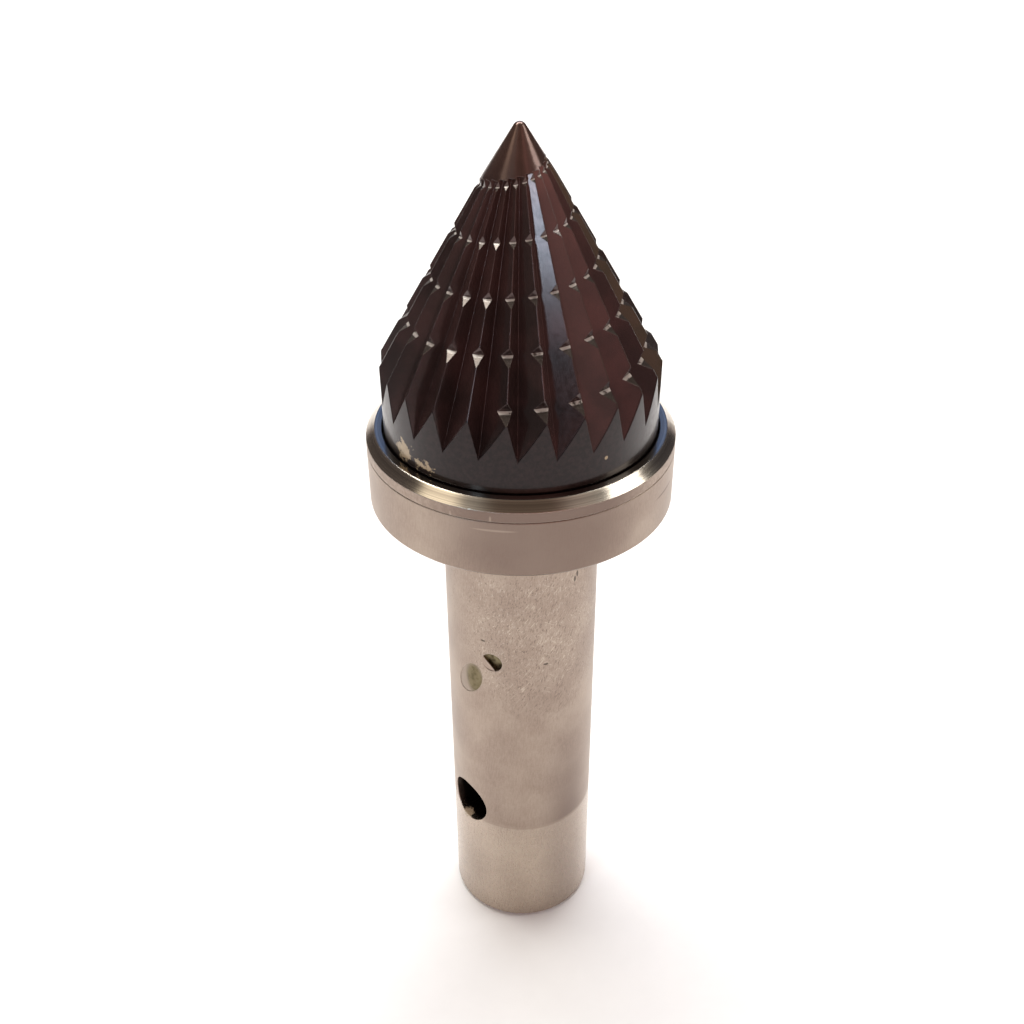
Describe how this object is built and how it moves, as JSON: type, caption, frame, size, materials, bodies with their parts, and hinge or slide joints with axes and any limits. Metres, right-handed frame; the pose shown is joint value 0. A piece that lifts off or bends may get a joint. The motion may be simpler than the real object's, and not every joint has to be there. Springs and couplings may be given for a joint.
{
  "type": "live center",
  "caption": "Straight-shank live center for a lathe: a fluted 60 degree point turns on bearings in a round steel head and carries the end of the work.",
  "frame": {"origin": "centre of the shank's end face", "axes": "+Z along the spin axis towards the tip; -Y towards the front, where the sunk pin end and the plug are"},
  "size_m": [0.024, 0.024, 0.0746],
  "materials": {
    "ground_steel": "ground and worn, with fine scratches",
    "rim_steel": "turned bright, reflective chamfer",
    "coated_steel": "dark brown coating with bright cut edges",
    "bearing_steel": "ground",
    "dark_steel": "dull, oil stained",
    "brass_cage": "stamped",
    "brass_plug": "dull olive, dressed flush",
    "black_rubber": "matte"
  },
  "bodies": {
    "housing": {"housing": "ground_steel", "head_cover_ring": "rim_steel", "setting_shim": "bearing_steel", "thrust_housing_washer": "bearing_steel", "front_needle_cup": "bearing_steel", "bearing_spacer": "bearing_steel", "rear_needle_cup": "bearing_steel", "retaining_pin": "dark_steel", "shank_plug": "brass_plug"},
    "point": {"cone_point": "coated_steel", "spindle": "bearing_steel", "dust_seal": "black_rubber", "thrust_shaft_washer": "bearing_steel"},
    "thrust_bearing": {"thrust_cage": "brass_cage", "thrust_rollers": "bearing_steel"},
    "front_needle_bearing": {"front_needle_cage": "bearing_steel", "front_needles": "bearing_steel"},
    "rear_needle_bearing": {"rear_needle_cage": "bearing_steel", "rear_needles": "bearing_steel"}
  },
  "joints": [
    {"name": "point_spin", "type": "hinge", "parent": "housing", "child": "point", "pos_m": [0, 0, 0.0517], "axis": [0, 0, 1], "continuous": true},
    {"name": "thrust_cage_spin", "type": "hinge", "parent": "housing", "child": "thrust_bearing", "pos_m": [0, 0, 0.04806], "axis": [0, 0, 1], "continuous": true},
    {"name": "front_cage_spin", "type": "hinge", "parent": "housing", "child": "front_needle_bearing", "pos_m": [0, 0, 0.041], "axis": [0, 0, 1], "continuous": true},
    {"name": "rear_cage_spin", "type": "hinge", "parent": "housing", "child": "rear_needle_bearing", "pos_m": [0, 0, 0.0215], "axis": [0, 0, 1], "continuous": true}
  ],
  "couplings": [
    {"joint": "thrust_cage_spin", "follows": "point_spin", "ratio": 0.5},
    {"joint": "front_cage_spin", "follows": "point_spin", "ratio": 0.4},
    {"joint": "rear_cage_spin", "follows": "point_spin", "ratio": 0.4}
  ]
}
